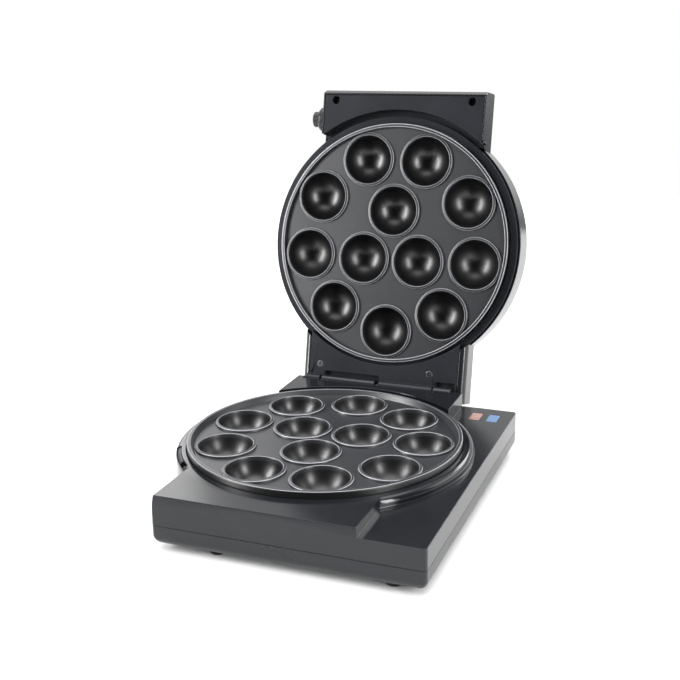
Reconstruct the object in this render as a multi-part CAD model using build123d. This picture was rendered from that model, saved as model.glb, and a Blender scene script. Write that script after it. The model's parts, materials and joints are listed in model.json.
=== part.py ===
"""Cake pop maker: a countertop cooker with twelve ball moulds and a hinged lid.

The model is built around the middle of the lower baking plate: +X is the
cook's right, +Y the rear, +Z up, and z = 0 is the rim of the lower moulds.
The lid is drawn closed, turned open about the hinge pin, and everything is
then moved so that the origin lies under the middle of the whole object.
"""

from build123d import *
from math import cos, radians, sin, sqrt
import os

# Moulds and baking plates
mould_radius = 20.5
mould_ring_width = 2.75
mould_ring_radius = mould_radius + mould_ring_width
outer_mould_count = 9
inner_mould_count = 3
outer_mould_gap = 5.083
inner_mould_gap = 2.188
outer_mould_circle = (mould_ring_radius + outer_mould_gap / 2) / sin(radians(180 / outer_mould_count))
inner_mould_circle = (mould_ring_radius + inner_mould_gap / 2) / sin(radians(180 / inner_mould_count))
plate_wall = 1.8
web_drop = 2.4
plate_rim_width = 5.64
plate_lip_radius = outer_mould_circle + mould_ring_radius + plate_rim_width
plate_lip_height = 4.2
plate_lip_width = 4.0
plate_skirt_drop = 6.2
upper_plate_radius = plate_lip_radius - 2.3
upper_bead_width = 2.6
upper_bead_drop = 1.0
plate_gap = 6.0

# Base
plate_clearance = 0.7
opening_radius = plate_lip_radius + plate_clearance
ring_width = 8.0
ring_wall_radius = opening_radius + ring_width
ring_top = -2.9
ring_shoulder = 4.5
front_y = -(ring_wall_radius + 18.0)
front_top_setback = 0.9
rear_y = ring_wall_radius + 9.7
left_x = -(ring_wall_radius - 36.5)
left_step_x = left_x + 1.5
left_top_x = left_x + 2.5
step_x = ring_wall_radius - 39.4
right_x = ring_wall_radius + 7.6
panel_top = -9.6
parting_z = -25.3
tray_bottom = -40.4
tray_edge_round = 7.5
base_corner_round = 3.0
base_wall = 2.4
tray_wall = 2.2
hinge_block_half = ring_wall_radius - 38.5
hinge_block_top = 2.0
hinge_block_ring = ring_wall_radius - 4.0
inner_wall = 2.0
inner_wall_bottom = -17.0
ledge_reach = 3.5
ledge_thickness = 2.0
foot_radius = 6.0
foot_height = 4.6
foot_stem_radius = 2.5
foot_left_x = left_x + 43.1
foot_right_x = right_x - 26.1
foot_front_y = front_y + 14.7
foot_rear_y = rear_y - 14.7
boss_radius = 4.0
tray_boss_radius = 5.0
tray_screw_left_x = left_x + 18.4
tray_screw_right_x = right_x - 17.4
tray_screw_front_y = front_y + 31.4
tray_screw_rear_y = rear_y - 15.4
tray_screw_rear_step = 32.0
screw_radius = 1.5
screw_head_radius = 3.0
screw_head_height = 2.0
tray_screw_depth = 9.0
tray_screw_seat = 1.0
boss_gap = 3.0
screw_fit = 0.05
beam_thickness = 6.0
beam_depth = 4.0
lip_fit = 0.2
lip_wall = 1.2
lip_rise = 1.5
lip_root = 3.0
vent_length = 52.0
vent_width = 3.2
vent_pitch = 8
vent_count = 8
vent_start_x = -18
vent_y = -6
pan_post_circle = 80.0
pan_post_radius = 3.5
board_post_radius = 1.6

# Reflector pans and heating elements
pan_sheet = 0.6
pan_flange_radius = plate_lip_radius - 0.1
pan_inner_radius = pan_flange_radius - 6.3
lower_pan_depth = 26.2
upper_pan_depth = 22.4
element_circle = 52.0
element_radius = 3.25
element_pan_gap = 1.0
element_open_angle = 16.0
lower_element_end = pan_flange_radius + 3.8
upper_element_end = pan_flange_radius - 0.2
clip_width = 6.0
clip_length = 14.0
clip_angles = (60, 180, 300)

# Hinge
hinge_y = rear_y + 0.3
hinge_z = -0.8
opening_angle = 102.86
knuckle_radius = 5.3
pin_radius = 2.0
pin_fit = 0.05
lid_knuckles = ((-67.0, -53.8), (0.7, 48.2))
base_knuckles = ((-52.0, -3.0), (49.2, 64.5))
trough_gap = 1.2

# Lid, drawn closed
lid_face = 5.0
frame_wall = 2.0
flange_inner_radius = upper_plate_radius + 0.9
flange_width = 5.8
flange_outer_radius = flange_inner_radius + flange_width
flange_z = 10.5
frame_skirt_radius = flange_inner_radius + 3.9
frame_skirt_top = 24.0
upper_skirt_top = 14.0
cover_radius = flange_outer_radius + 1.7
cover_wall = 2.2
cover_edge_z = 15.0
cover_top = 47.0
cover_round = 6.0
cover_recess_radius = cover_radius - 26.4
cover_recess = 0.8
face_gap = 0.35
channel_width = 4.8
channel_wall = 1.5
channel_inner_radius = flange_outer_radius + channel_width
channel_floor_z = 15.0
handle_edge_radius = channel_inner_radius + channel_wall
handle_left_x = left_x + 6.5
handle_right_x = step_x + 1.0
handle_face_y = front_y + 4.0
handle_front_y = front_y - 0.3
handle_top = 33.5
handle_chamfer = 5.6
handle_wall = 1.5
lid_block_half = hinge_block_half - 0.5
lid_block_face_y = hinge_y + 8.5
lid_block_rear_y = hinge_y + 10.6
lid_block_top = 34.0
lid_block_round = 6.0
lid_block_rim = 6.5
lid_block_edge_radius = flange_inner_radius + 2.1
pocket_front_y = hinge_y - 8.2
pocket_rear_y = hinge_y + 4.2
pocket_depth = 4.5
handle_screw_y = handle_face_y + 6.1
handle_screw_places = ((handle_left_x + 11.9, handle_screw_y), (handle_right_x - 11.9, handle_screw_y))
handle_well_radius = 3.5
handle_well_depth = 7.0
block_screw_places = ((-57.6, hinge_y - 13.7), (42.4, hinge_y - 14.3))
lid_screw_length = 13.0

# Lid plate release button
button_y = handle_front_y + 26.3
button_z = 16.0
button_radius = 6.75
button_reach = 11.2
button_travel = 5.0
button_fit = 0.35
bezel_radius = 10.5
bezel_height = 6.0
bezel_collar_radius = 8.8
button_inner_end = handle_left_x + 6.0
button_spring_seat = handle_left_x + 14.0
button_spring_radius = 3.0
button_bar_y = button_y - 7.0
button_bar_width = 2.5
button_bar_z = 17.6
button_bar_height = 3.0
button_arm_x = 4.0
button_arm_width = 4.0
upper_tongue_length = 10.0
upper_tongue_y = button_y + 2.7
upper_tongue_width = 1.8
upper_tongue_height = 2.4
latch_gap = 0.35

# Lower plate release lever, angles in degrees about the middle of the plate
lever_slot_start = -155.0
lever_slot_end = -134.0
lever_pad_end = -140.0
lever_travel = 4.5
lever_sink = 0.8
lever_low = -10.6
lever_thickness = 2.4
lever_shelf_gap = 0.3
lever_arm_start = -150.0
lever_arm_end = -146.0
lower_tongue_start = -157.5
lower_tongue_inner = plate_lip_radius - 3.8
lower_tongue_outer = plate_lip_radius - 1.5
lower_lug_start = -156.4
lower_lug_end = -154.8
lug_wall = 1.1
lever_spring_radius = 1.5
lever_spring_seat = -131.0
hook_angles = (22.0, 38.0)
hook_side_gap = 1.0
upper_hook_angles = (84.0, 96.0)

# Electrical parts in the base
lens_width = 8.5
lens_length = 15.0
red_lens_centre = (right_x - 29.0, rear_y - 20.2)
blue_lens_centre = (right_x - 14.7, rear_y - 20.7)
lens_flange = 1.2
board_z = -19.0
board_thickness = 1.6
lamp_radius = 2.4
thermostat_angle = 24.0
thermostat_radius = 7.0
thermostat_height = 8.0
fuse_angle = 42.0
fuse_radius = 2.2
fuse_length = 14.0
terminal_size = (7.0, 24.0, 11.0)
cable_hole_x = right_x - 22.6
cable_hole_z = -31.5
cable_bush_radius = 6.0
cable_bore_radius = 3.4
spring_wire_radius = 0.4

# Places that follow from the sizes above
tray_screw_places = (
    (tray_screw_left_x, tray_screw_front_y),
    (tray_screw_right_x, tray_screw_front_y),
    (tray_screw_right_x, tray_screw_rear_y - tray_screw_rear_step),
    (tray_screw_left_x, tray_screw_rear_y),
)
ledge_top = -plate_skirt_drop - pan_sheet
upper_ledge = upper_skirt_top + pan_sheet
lower_element_z = ledge_top + pan_sheet - lower_pan_depth + pan_sheet + element_pan_gap + element_radius
upper_element_z = upper_skirt_top + upper_pan_depth - element_pan_gap - element_radius
hook_gap_angles = (hook_angles[0] - hook_side_gap, hook_angles[1] + hook_side_gap)
upper_hook_gap = (upper_hook_angles[0] - hook_side_gap, upper_hook_angles[1] + hook_side_gap)
ledge_gap_angles = (lower_tongue_start - 1.5, lever_arm_end + lever_travel + 1)
hinge_axis = Axis((0, hinge_y, hinge_z), (1, 0, 0))
mould_centres = [
    (radius * cos(radians(start + step * 360 / count)), radius * sin(radians(start + step * 360 / count)))
    for radius, count, start in (
        (outer_mould_circle, outer_mould_count, 90),
        (inner_mould_circle, inner_mould_count, 270),
    )
    for step in range(count)
]


def block(x, y, z):
    """A box between two values on each axis."""
    size = (x[1] - x[0], y[1] - y[0], z[1] - z[0])
    return Pos(x[0], y[0], z[0]) * Box(*size, align=(Align.MIN, Align.MIN, Align.MIN))


def post(x, y, radius, low, high):
    """An upright cylinder."""
    return Pos(x, y, low) * Cylinder(radius, high - low, align=(Align.CENTER, Align.CENTER, Align.MIN))


def ring(inner, outer, low, high):
    """An upright tube about the middle of the plate."""
    return post(0, 0, outer, low, high) - post(0, 0, inner, low - 1, high + 1)


def rounded(points, rounds=()):
    """A flat outline whose corners are rounded where (corner number, radius) says."""
    face = Polygon(*points, align=None)
    for corner, radius in rounds:
        place = Vector(*points[corner])
        face = fillet(face.vertices().sort_by_distance(place)[0], radius)
    return face


def along_x(outline, low, high):
    """An outline drawn in Y and Z, run along X."""
    return Pos(low, 0, 0) * extrude(Plane.YZ * outline, amount=high - low, dir=(1, 0, 0))


def along_y(outline, low, high):
    """An outline drawn in X and Z, run along Y."""
    return Pos(0, low, 0) * extrude(Plane.XZ * outline, amount=high - low, dir=(0, 1, 0))


def turned(outline, start=0, end=360):
    """An outline drawn in radius and height, turned about the upright axis."""
    solid = revolve(Plane.XZ * outline, Axis.Z, revolution_arc=end - start)
    return Rot(0, 0, start) * solid


def sector(inner, outer, low, high, start, end):
    """A piece of an upright tube between two angles."""
    return turned(Polygon((inner, low), (outer, low), (outer, high), (inner, high), align=None), start, end)


def rod(radius, low, high, y, z):
    """A cylinder along X."""
    return Pos(low, y, z) * Rot(0, 90, 0) * Cylinder(radius, high - low, align=(Align.CENTER, Align.CENTER, Align.MIN))


def polar(radius, angle):
    return radius * cos(radians(angle)), radius * sin(radians(angle))


def coil(radius, length, turns):
    """A coil spring along +Z from z = 0, flat enough at its ends to stand on."""
    wire_length = length - 2 * spring_wire_radius
    path = Pos(0, 0, spring_wire_radius) * Helix(wire_length / turns, wire_length, radius - spring_wire_radius)
    section = Plane(path @ 0, z_dir=path % 0) * Circle(spring_wire_radius)
    return sweep(section, path)


def base_footprint(inset):
    """The base seen from above: a straight-sided block and the round of the plate."""
    low = (left_x + inset, front_y + inset)
    high = (right_x - inset, rear_y - inset)
    corners = [low, (high[0], low[1]), high, (low[0], high[1])]
    bend = max(base_corner_round - inset, 0.5)
    return rounded(corners, [(n, bend) for n in range(4)]) + Circle(ring_wall_radius - inset)


def housing_volume(inset, low):
    """The space inside the upper base shell, taken in by an inset."""
    top = ring_top - inset
    wall = ring_wall_radius - inset
    round_part = turned(rounded([(0, low), (wall, low), (wall, top), (0, top)], [(2, ring_shoulder - inset)]))
    left_side = [(left_x + inset, low), (left_x + inset, parting_z), (left_step_x + inset, panel_top)]
    right_side = [(right_x - inset, panel_top - inset), (right_x - inset, low)]
    front = along_y(
        Polygon(
            *left_side,
            (left_top_x + inset, top),
            (step_x - inset, top),
            (step_x - inset, panel_top - inset),
            *right_side,
            align=None,
        ),
        front_y,
        0,
    )
    front &= along_x(
        Polygon(
            (front_y + inset, low),
            (front_y + inset, panel_top),
            (front_y + front_top_setback + inset, top),
            (0, top),
            (0, low),
            align=None,
        ),
        left_x,
        right_x,
    )
    rear = along_y(
        Polygon(
            *left_side,
            (-hinge_block_half + inset, hinge_block_top - inset),
            (hinge_block_half - inset, hinge_block_top - inset),
            (hinge_block_half - inset, panel_top - inset),
            *right_side,
            align=None,
        ),
        0,
        rear_y - inset,
    )
    rear -= post(0, 0, hinge_block_ring + inset, top, hinge_block_top + 1)
    whole = round_part + front + rear
    return whole & extrude(Pos(0, 0, low) * base_footprint(inset), amount=hinge_block_top - low + 1)


def make_housing():
    """Upper base shell: ring round the plate, raised front, right panel and hinge block."""
    shell = housing_volume(0, parting_z) - housing_volume(base_wall, parting_z - 1)
    shell -= post(0, 0, opening_radius, parting_z, ring_top + 1)
    wall_outer = opening_radius + inner_wall
    shell += ring(opening_radius, wall_outer, inner_wall_bottom, ring_top - base_wall / 2)
    for start, end in ((hook_gap_angles[1], 360 + ledge_gap_angles[0]), (ledge_gap_angles[1], hook_gap_angles[0])):
        shell += sector(
            opening_radius - ledge_reach, opening_radius + 0.5, ledge_top - ledge_thickness, ledge_top, start, end
        )
    # Solid beam that carries the hinge, with a trough round the knuckles
    trough_front = hinge_y - knuckle_radius - trough_gap
    beam_front = trough_front - beam_thickness
    trough_floor = hinge_z - knuckle_radius - trough_gap
    beam_x = (-hinge_block_half + 1, hinge_block_half - 1)
    shell += block(beam_x, (beam_front, rear_y), (trough_floor - beam_depth, hinge_block_top))
    trough_x = (lid_knuckles[0][0] - trough_gap, base_knuckles[1][1] + trough_gap)
    shell -= block(trough_x, (trough_front, rear_y + 1), (trough_floor, hinge_block_top + 1))
    for start, end in base_knuckles:
        shell += rod(knuckle_radius, start, end, hinge_y, hinge_z)
        shell += block((start, end), (hinge_y - knuckle_radius, rear_y), (trough_floor - 1, hinge_z))
    shell -= rod(pin_radius + screw_fit / 2, trough_x[0], trough_x[1], hinge_y, hinge_z)
    # Posts that take the tray screws
    for x, y in tray_screw_places:
        in_block = x < step_x and y < 0
        ceiling = ring_top if in_block else panel_top
        if x < 0 < y:
            ceiling = hinge_block_top
        shell += post(x, y, boss_radius, parting_z + boss_gap, ceiling - base_wall / 2)
        shell -= post(x, y, screw_radius + screw_fit, parting_z, parting_z + boss_gap + tray_screw_depth)
    # Windows for the two lamps, and posts for their board
    for x, y in (red_lens_centre, blue_lens_centre):
        half_x = lens_width / 2 + screw_fit
        half_y = lens_length / 2 + screw_fit
        shell -= block((x - half_x, x + half_x), (y - half_y, y + half_y), (parting_z, panel_top + 1))
    for x in board_post_places():
        shell += post(x, board_y(), board_post_radius, board_z + board_thickness, panel_top - base_wall / 2)
    return shell - lever_room() - lower_hook_window()


def board_y():
    return (red_lens_centre[1] + blue_lens_centre[1]) / 2


def board_post_places():
    reach = lens_width / 2 + lens_flange + 2.2
    return (red_lens_centre[0] - reach, blue_lens_centre[0] + reach)


def lever_room():
    """What the release lever needs cut out of the housing: a slot outside and a window inside."""
    slot_inner = hinge_block_ring - 0.4
    slot_outer = ring_wall_radius - 0.8
    slot = sector(slot_inner, slot_outer, lever_low - 1, ring_top + 1, lever_slot_start, lever_slot_end)
    window = sector(
        opening_radius - 0.5,
        opening_radius + inner_wall + 0.5,
        lever_low - 0.7,
        lever_low + lever_thickness + 0.7,
        lever_arm_start - 1,
        lever_arm_end + lever_travel + 1,
    )
    return slot + window


def lower_hook_window():
    """Window in the inner wall for the plate's fixed hook."""
    wall = (opening_radius - 0.8, opening_radius + inner_wall + 0.5)
    return sector(*wall, ledge_top - 2.4, ledge_top + 0.4, *hook_gap_angles)


def make_lever_shelf():
    """Curved shelf in the housing that the release lever slides on, with a stop for its spring."""
    reach = (opening_radius + inner_wall / 2, ring_wall_radius - base_wall / 2)
    top = lever_low - lever_shelf_gap
    shelf = sector(*reach, top - 1.8, top, lever_slot_start - 5, lever_spring_seat + 1.5)
    stop_top = lever_low + 2 * lever_spring_radius
    return shelf + sector(*reach, top - 1, stop_top, lever_spring_seat, lever_spring_seat + 1.5)


def make_lever_spring():
    """Coil spring between the end of the lever and the stop on its shelf."""
    radius = opening_radius + inner_wall + 0.3 + lever_spring_radius
    start = Vector(*polar(radius, lever_pad_end + 0.15))
    end = Vector(*polar(radius, lever_spring_seat - 0.15))
    middle = Pos(start.X, start.Y, lever_low + lever_spring_radius)
    turn = (lever_pad_end + lever_spring_seat) / 2 + 90
    return middle * Rot(0, 0, turn) * Rot(0, 90, 0) * coil(lever_spring_radius, (end - start).length, 9)


def make_tray():
    """Lower base shell with feet holes, screw bosses, air slots and the cable opening."""
    outer = extrude(Pos(0, 0, tray_bottom) * base_footprint(0), amount=parting_z - tray_bottom)
    outer = fillet(outer.edges().group_by(Axis.Z)[0], tray_edge_round)
    floor = tray_bottom + tray_wall
    inner = extrude(Pos(0, 0, floor) * base_footprint(tray_wall), amount=parting_z - floor + 1)
    inner = fillet(inner.edges().group_by(Axis.Z)[0], tray_edge_round - tray_wall)
    tray = outer - inner
    root = parting_z - lip_root
    lip_outer = extrude(Pos(0, 0, root) * base_footprint(base_wall + lip_fit), amount=lip_root + lip_rise)
    lip_inside = base_wall + lip_fit + lip_wall
    lip_inner = extrude(Pos(0, 0, root - 1) * base_footprint(lip_inside), amount=lip_root + lip_rise + 2)
    seat = extrude(Pos(0, 0, root) * base_footprint(tray_wall - 0.1), amount=lip_root)
    tray += (lip_outer - lip_inner) + (seat - lip_inner)
    for x, y in tray_screw_places:
        tray += post(x, y, tray_boss_radius, floor - 1, parting_z + boss_gap - 0.2)
        head_seat = parting_z - tray_screw_seat
        tray -= post(x, y, screw_head_radius + 0.5, tray_bottom - 1, head_seat)
        tray -= post(x, y, screw_radius + 0.2, head_seat - 1, parting_z + 4)
    for x, y in foot_places():
        tray -= post(x, y, foot_stem_radius + screw_fit, tray_bottom - 1, floor + 1)
    vent = extrude(SlotOverall(vent_length, vent_width, rotation=90), amount=tray_wall + 4)
    for number in range(vent_count):
        tray -= Pos(vent_start_x + number * vent_pitch, vent_y, tray_bottom - 1) * vent
    # Posts under the reflector pan
    pan_bottom = ledge_top + pan_sheet - lower_pan_depth
    for angle in (45, 135, 225, 315):
        tray += post(*polar(pan_post_circle, angle), pan_post_radius, floor - 1, pan_bottom)
    gland = Pos(cable_hole_x, rear_y + 1, cable_hole_z) * Rot(90, 0, 0)
    hole = Cylinder(cable_bush_radius + screw_fit, tray_wall + 4, align=(Align.CENTER, Align.CENTER, Align.MIN))
    return tray - gland * hole


def foot_places():
    return [(x, y) for x in (foot_left_x, foot_right_x) for y in (foot_front_y, foot_rear_y)]


def make_feet():
    feet = []
    for x, y in foot_places():
        pad = post(x, y, foot_radius, tray_bottom - foot_height, tray_bottom)
        pad = chamfer(pad.edges().group_by(Axis.Z)[0], 0.8)
        feet.append(pad + post(x, y, foot_stem_radius, tray_bottom - 1, tray_bottom + tray_wall + 1.5))
    return feet


def make_screw(length, head_height=screw_head_height, head_radius=screw_head_radius):
    """A cross-head screw pointing up, with the underside of its head at z = 0."""
    head = post(0, 0, head_radius, -head_height, 0)
    head = fillet(head.edges().group_by(Axis.Z)[0], 0.5)
    body = head + post(0, 0, screw_radius, -0.5, length)
    for turn in (0, 90):
        body -= Pos(0, 0, -head_height) * Rot(0, 0, turn) * Box(head_radius * 1.2, 0.8, 2.0)
    return body


def make_tray_screws():
    screw = make_screw(boss_gap + tray_screw_depth)
    return [Pos(x, y, parting_z - tray_screw_seat) * screw for x, y in tray_screw_places]


def mould_cup(rim_to_web, inner, outer_ring):
    """One ball mould opening upwards, its rim at z = 0, and its ring down to the web."""
    shell = inner + plate_wall
    low = -rim_to_web - plate_wall
    outline = Polygon(
        (0, low), (outer_ring, low), (outer_ring, -0.7), (outer_ring - 0.7, 0), (inner + 0.6, 0), (0, 0), align=None
    )
    cup = turned(outline) + (Sphere(shell) & post(0, 0, shell + 1, -shell - 1, low + 0.2))
    cup -= Sphere(inner)
    mouth = turned(Polygon((0, 0.1), (inner + 0.7, 0.1), (0, -inner - 0.6), align=None))
    return cup - mouth


def make_plate(lip, lip_radius, lip_width, skirt_bottom):
    """A cast baking plate with its moulds opening upwards and its mould rims at z = 0."""
    web = -web_drop
    slope_foot = outer_mould_circle + mould_ring_radius + 0.25
    profile = [
        (0, web - plate_wall),
        (slope_foot - 0.3, web - plate_wall),
        (lip_radius - lip_width + 0.3, lip - plate_wall),
        (lip_radius - plate_wall, lip - plate_wall),
        (lip_radius - plate_wall, skirt_bottom),
        (lip_radius, skirt_bottom),
        (lip_radius, lip),
        (lip_radius - lip_width, lip),
        (slope_foot, web),
        (0, web),
    ]
    plate = turned(rounded(profile, [(6, 0.8), (7, 0.5), (8, 0.6)]))
    for x, y in mould_centres:
        plate -= post(x, y, mould_radius + plate_wall, web - plate_wall - 1, web + 1)
    cup = mould_cup(web_drop, mould_radius, mould_ring_radius)
    for x, y in mould_centres:
        plate += Pos(x, y, 0) * cup
    return plate


def make_lower_plate():
    plate = make_plate(plate_lip_height, plate_lip_radius, plate_lip_width, -plate_skirt_drop)
    lug_inner = lower_tongue_inner - latch_gap - lug_wall
    lug_low = lever_low - latch_gap - lug_wall
    lug_outer = lower_tongue_outer + latch_gap + lug_wall - 0.2
    lug = sector(lug_inner, lug_outer, lug_low, -web_drop, lower_lug_start, lower_lug_end)
    lug -= sector(
        lower_tongue_inner - latch_gap,
        lower_tongue_outer + latch_gap,
        lever_low - latch_gap,
        lever_low + lever_thickness + latch_gap,
        lower_lug_start - 1,
        lower_lug_end + 1,
    )
    skirt_inner = plate_lip_radius - plate_wall
    hook_low = ledge_top - 1.9
    hook = sector(skirt_inner + 0.2, plate_lip_radius - 0.2, hook_low, -plate_skirt_drop + 1, *hook_angles)
    hook += sector(skirt_inner + 0.2, opening_radius + inner_wall - 0.4, hook_low, ledge_top - 0.3, *hook_angles)
    return plate + lug + hook


def make_lower_pan():
    """Reflector pan under the lower plate, open at the latch and the fixed hook."""
    flange_low = ledge_top
    bottom = ledge_top + pan_sheet - lower_pan_depth
    pan = pan_shell(bottom, flange_low)
    gap_ends = (pan_flange_radius + 1, flange_low - 1, flange_low + 1)
    lug_gap = sector(
        pan_inner_radius + pan_sheet + 0.1, *gap_ends, lower_lug_start - hook_side_gap, lower_lug_end + hook_side_gap
    )
    hook_gap = sector(pan_inner_radius + pan_sheet + 1, *gap_ends, *hook_gap_angles)
    pan = pan - lug_gap - hook_gap
    return pan - element_holes(lower_element_z)


def pan_shell(bottom, flange_low):
    """A pressed pan: floor, wall and flange, opening upwards."""
    outer = pan_inner_radius + pan_sheet
    profile = [
        (0, bottom),
        (outer, bottom),
        (outer, flange_low),
        (pan_flange_radius, flange_low),
        (pan_flange_radius, flange_low + pan_sheet),
        (pan_inner_radius, flange_low + pan_sheet),
        (pan_inner_radius, bottom + pan_sheet),
        (0, bottom + pan_sheet),
    ]
    return turned(rounded(profile, [(1, 4.0), (6, 3.4)]))


def element_holes(z):
    """Holes in a pan wall for the two ends of its heating element."""
    holes = Part()
    for turn in (-1, 1):
        angle = turn * element_open_angle / 2
        holes += Rot(0, 0, angle) * rod(element_radius + 0.25, pan_inner_radius - 3, pan_inner_radius + 4, 0, z)
    return holes


def make_element(z, end_radius):
    """Tubular heating element: an open ring whose two ends run out to the right."""
    half = element_open_angle / 2
    circle = Plane.XZ * Pos(element_circle, z) * Circle(element_radius)
    loop = Rot(0, 0, half) * revolve(circle, Axis.Z, revolution_arc=360 - 2 * half)
    for turn in (-1, 1):
        loop += Rot(0, 0, turn * half) * Pos(element_circle, 0, z) * Sphere(element_radius)
        loop += Rot(0, 0, turn * half) * rod(element_radius, element_circle, end_radius - 6, 0, z)
        loop += Rot(0, 0, turn * half) * rod(1.6, end_radius - 7, end_radius, 0, z)
    return loop


def make_clips(z, floor):
    """Three brackets that hold a heating element on its pan."""
    clips = []
    tube = Torus(element_circle, element_radius + screw_fit)
    reach = clip_length / 2
    far = z + element_radius + 1.0
    for angle in clip_angles:
        body = block((element_circle - reach, element_circle + reach), (-clip_width / 2, clip_width / 2), (floor, z - 0.5))
        strap = block((element_circle - 4.6, element_circle + 4.6), (-clip_width / 2, clip_width / 2), (floor, far))
        clips.append(Rot(0, 0, angle) * (body + strap - Pos(0, 0, z) * tube))
    return clips


def make_lever():
    """Release lever of the lower plate: thumb pad, arm and tongue in one sliding piece."""
    low = lever_low
    high = lever_low + lever_thickness
    pad_start = lever_slot_start + 0.5
    pad_inner = hinge_block_ring - 0.1
    pad_outer = ring_wall_radius - 1.1
    centre = ring_wall_radius - ring_shoulder
    arc_centre = (centre, ring_top - ring_shoulder)
    arc_radius = ring_shoulder - lever_sink
    pad_profile = []
    for radius in (pad_inner, (pad_inner + pad_outer) / 2, pad_outer):
        rise = sqrt(max(arc_radius**2 - (radius - arc_centre[0]) ** 2, 0.04))
        pad_profile.append((radius, arc_centre[1] + rise))
    outline = Polygon((pad_inner, low), (pad_outer - 1.8, low), (pad_outer, low + 1.8), *reversed(pad_profile), align=None)
    lever = turned(outline, pad_start, lever_pad_end)
    lever += sector(opening_radius + inner_wall + 0.4, pad_inner + 0.5, low, high, pad_start, lever_pad_end)
    lever += sector(lower_tongue_inner, pad_inner, low, high, lever_arm_start, lever_arm_end)
    return lever + sector(lower_tongue_inner, lower_tongue_outer, low, high, lower_tongue_start, lever_arm_end)


def lens_solid(centre):
    x, y = centre
    half_x = lens_width / 2
    half_y = lens_length / 2
    ceiling = panel_top - base_wall
    lens = block((x - half_x, x + half_x), (y - half_y, y + half_y), (ceiling - lens_flange, panel_top))
    reach = lens_flange
    lens += block(
        (x - half_x - reach, x + half_x + reach), (y - half_y - reach, y + half_y + reach), (ceiling - lens_flange, ceiling)
    )
    return lens


def make_board():
    """Small circuit board under the two lamp windows."""
    ends = board_post_places()
    x = (ends[0] - 2, ends[1] + 2)
    y = (board_y() - 11, board_y() + 11)
    return block(x, y, (board_z, board_z + board_thickness))


def make_lamps():
    low = board_z + board_thickness
    high = panel_top - base_wall - lens_flange - 0.3
    return [post(x, y, lamp_radius, low, high) for x, y in (red_lens_centre, blue_lens_centre)]


def wall_disc(radius, height, angle, z, gap=0.0):
    """A round part lying against the outside of the lower pan's wall."""
    start = pan_inner_radius + pan_sheet + gap
    return Rot(0, 0, angle) * rod(radius, start, start + height, 0, z)


def make_thermostat():
    z = lower_element_z + 1
    body = wall_disc(thermostat_radius, thermostat_height, thermostat_angle, z, 0.9)
    start = pan_inner_radius + pan_sheet
    plate = Rot(0, 0, thermostat_angle) * block((start, start + 1.4), (-11, 11), (z - 5, z + 5))
    plate -= Rot(0, 0, thermostat_angle) * Pos(0, 0, z) * Cylinder(start + 0.3, 30)
    return body + plate


def make_fuse():
    z = lower_element_z + 2
    x = pan_inner_radius + pan_sheet + fuse_radius + 0.1
    tube = Rot(0, 0, fuse_angle) * Pos(x, 0, z) * Rot(90, 0, 0) * Cylinder(fuse_radius, fuse_length)
    return tube - Pos(0, 0, z) * Cylinder(pan_inner_radius + pan_sheet, 20)


def make_terminal_block():
    width, depth, height = terminal_size
    floor = tray_bottom + tray_wall
    right = right_x - tray_edge_round
    body = block((right - width, right), (-depth / 2, depth / 2), (floor, floor + height))
    for y in (-8, 0, 8):
        body -= post(right - width / 2, y, 1.6, floor + height - 4, floor + height + 1)
    return body


def make_cable_bush():
    """Bush that lines the cable opening at the rear of the tray."""
    outside = Cylinder(cable_bush_radius + 1.5, 2.2, align=(Align.CENTER, Align.CENTER, Align.MIN))
    through = Cylinder(cable_bush_radius, 7.4, align=(Align.CENTER, Align.CENTER, Align.MIN))
    bore = Cylinder(cable_bore_radius, 30)
    bush = fillet(outside.edges().group_by(Axis.Z)[0], 1.0) + Pos(0, 0, 2.2) * through - bore
    return Pos(cable_hole_x, rear_y + 2.2, cable_hole_z) * Rot(90, 0, 0) * bush


def make_pin():
    start = lid_knuckles[0][0] + 0.5
    end = base_knuckles[1][1] - 0.5
    return rod(pin_radius, start, end, hinge_y, hinge_z)


def lid_round_part(inset, low):
    wall = cover_radius - inset
    top = cover_top - inset
    return turned(rounded([(0, low), (wall, low), (wall, top), (0, top)], [(2, cover_round - inset)]))


def handle_volume(inset, low):
    """The grip at the front of the lid, taken in by an inset."""
    face_step = lid_face + handle_chamfer
    inner_end = frame_skirt_radius / 2
    side = Polygon(
        (handle_face_y + inset, low),
        (handle_face_y + inset, lid_face),
        (handle_face_y - 2.7 + inset, face_step),
        (handle_front_y + inset, handle_top - inset),
        (-inner_end, handle_top - inset),
        (-inner_end, low),
        align=None,
    )
    body = along_x(side, handle_left_x + inset, handle_right_x - inset)
    if inset == 0:
        top_edges = body.edges().filter_by(Axis.X).group_by(Axis.Z)[-1].sort_by(Axis.Y)[0]
        body = fillet(top_edges, 2.0)
    return body


def lid_block_volume(inset):
    """The block at the rear of the lid that carries its knuckles."""
    half = lid_block_half - inset
    low = lid_face + inset
    top = lid_block_top - inset
    bend = lid_block_round - inset
    across = rounded([(-half, low), (half, low), (half, top), (-half, top)], [(0, bend), (1, bend), (2, bend), (3, bend)])
    start = frame_skirt_radius / 2
    side = [(start, low), (lid_block_face_y - inset, low), (lid_block_rear_y - inset, top), (start, top)]
    depth = rounded(side, [(1, bend), (2, bend)])
    return along_y(across, start, lid_block_rear_y) & along_x(depth, -half, half)


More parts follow.
